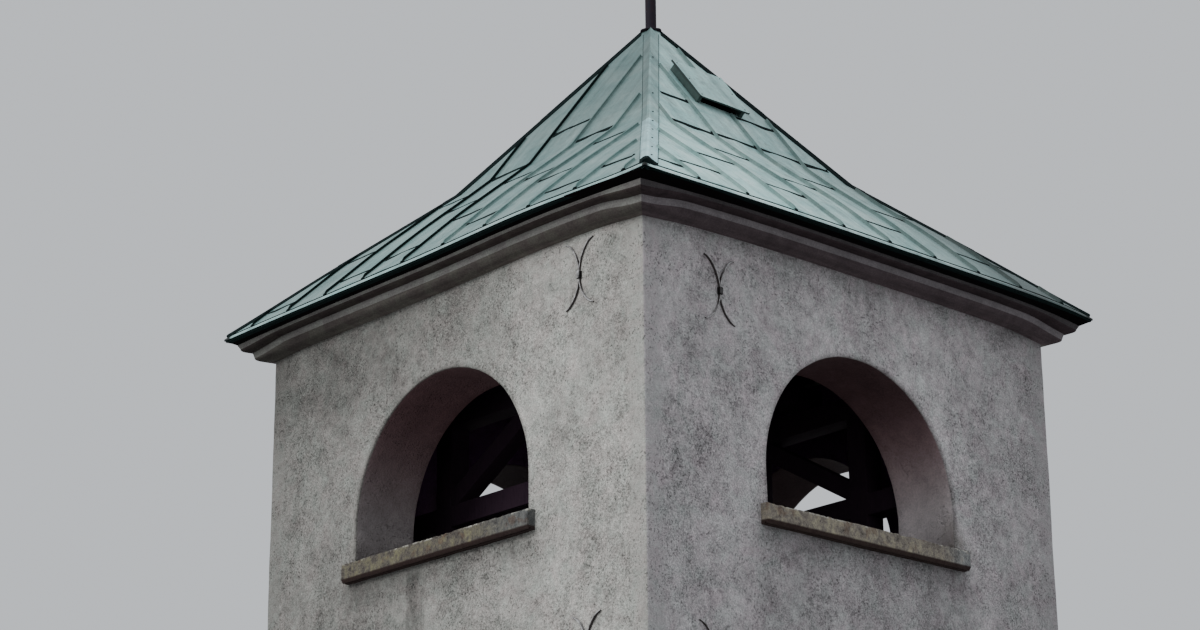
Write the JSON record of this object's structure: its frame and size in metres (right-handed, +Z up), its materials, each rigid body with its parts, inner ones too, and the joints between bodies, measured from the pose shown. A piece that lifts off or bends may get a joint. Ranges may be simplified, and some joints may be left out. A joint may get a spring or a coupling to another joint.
{
  "type": "church bell tower",
  "caption": "Square rendered church bell tower with arched belfry openings, moulded cornice and a two-pitch pyramid roof of seamed sheet metal with a finial cross.",
  "frame": {"origin": "centre of the tower's square foot, on the ground", "axes": "+Z up the tower, -Y the front face, +X the right-hand face with the roof hatch"},
  "size_m": [5.232, 5.232, 13.616],
  "materials": {
    "wall_render": "rough weathered lime render, mottled and stained",
    "cornice_plaster": "moulded plaster, weathered",
    "sill_stone": "rough sill with lichen",
    "roof_sheet": "pale grey-green weathered sheet, matt",
    "old_iron": "rusted, dark",
    "frame_timber": "old dark sawn timber",
    "door_timber": "weathered planks"
  },
  "bodies": {
    "root": {"apex_plate": "old_iron", "back_belfry_wall": "wall_render", "back_bell_truss": "frame_timber", "back_cornice": "cornice_plaster", "back_lower_wall_left": "wall_render", "back_lower_wall_right": "wall_render", "back_roof_slope": "roof_sheet", "back_sill": "sill_stone", "back_wall_over_door": "wall_render", "bell_cross_beams": "frame_timber", "door_leaf": "door_timber", "door_threshold": "sill_stone", "eaves_boards": "frame_timber", "finial_cross": "old_iron", "finial_pole": "old_iron", "floor_boards": "frame_timber", "floor_joists": "frame_timber", "front_belfry_wall": "wall_render", "front_bell_truss": "frame_timber", "front_cornice": "cornice_plaster", "front_lower_wall": "wall_render", "front_roof_slope": "roof_sheet", "front_sill": "sill_stone", "hip_caps": "roof_sheet", "hip_rafters": "frame_timber", "king_post": "frame_timber", "left_belfry_wall": "wall_render", "left_cornice": "cornice_plaster", "left_lower_wall": "wall_render", "left_roof_slope": "roof_sheet", "left_sill": "sill_stone", "lower_wall_anchors": "old_iron", "lower_wall_ties": "old_iron", "right_belfry_wall": "wall_render", "right_cornice": "cornice_plaster", "right_lower_wall": "wall_render", "right_roof_slope": "roof_sheet", "right_sill": "sill_stone", "roof_hatch_box": "roof_sheet", "roof_hatch_lid": "roof_sheet", "roof_tie_beam": "frame_timber", "upper_wall_anchors": "old_iron", "upper_wall_ties": "old_iron"}
  },
  "joints": []
}
